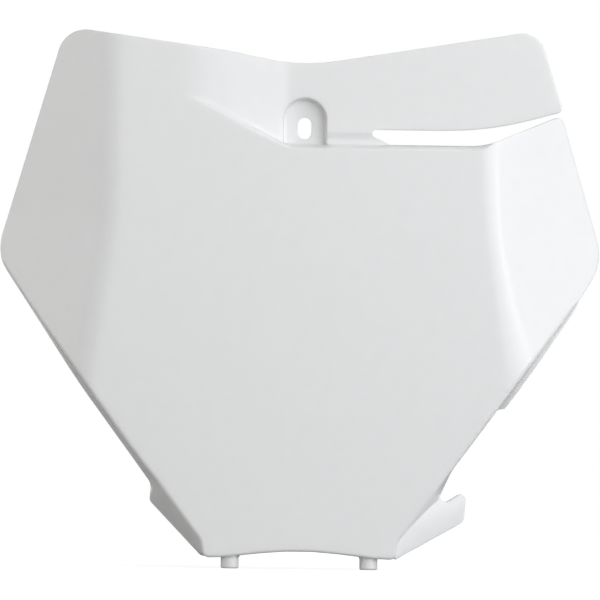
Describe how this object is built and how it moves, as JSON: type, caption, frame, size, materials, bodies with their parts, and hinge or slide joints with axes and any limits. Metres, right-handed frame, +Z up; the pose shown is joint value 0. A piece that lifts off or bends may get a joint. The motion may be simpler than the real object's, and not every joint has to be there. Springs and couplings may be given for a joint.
{
  "type": "motorcycle front number board",
  "caption": "Moulded front number board with swept wings, side skirts, a recessed top strip with a screw slot, a cable slot, foot pins and a hose hook.",
  "frame": {"origin": "centre of the screw slot, on the seat of the screw's head (the floor of the pocket)", "axes": "+Z up the board as it stands in the picture, the face looks along -Y, +X is the viewer's right in front of the board"},
  "size_m": [0.2668, 0.0284, 0.2395],
  "materials": {
    "board_plastic": "white, moulded in colour, semi-gloss"
  },
  "bodies": {
    "root": {"number_board": "board_plastic"}
  },
  "joints": []
}
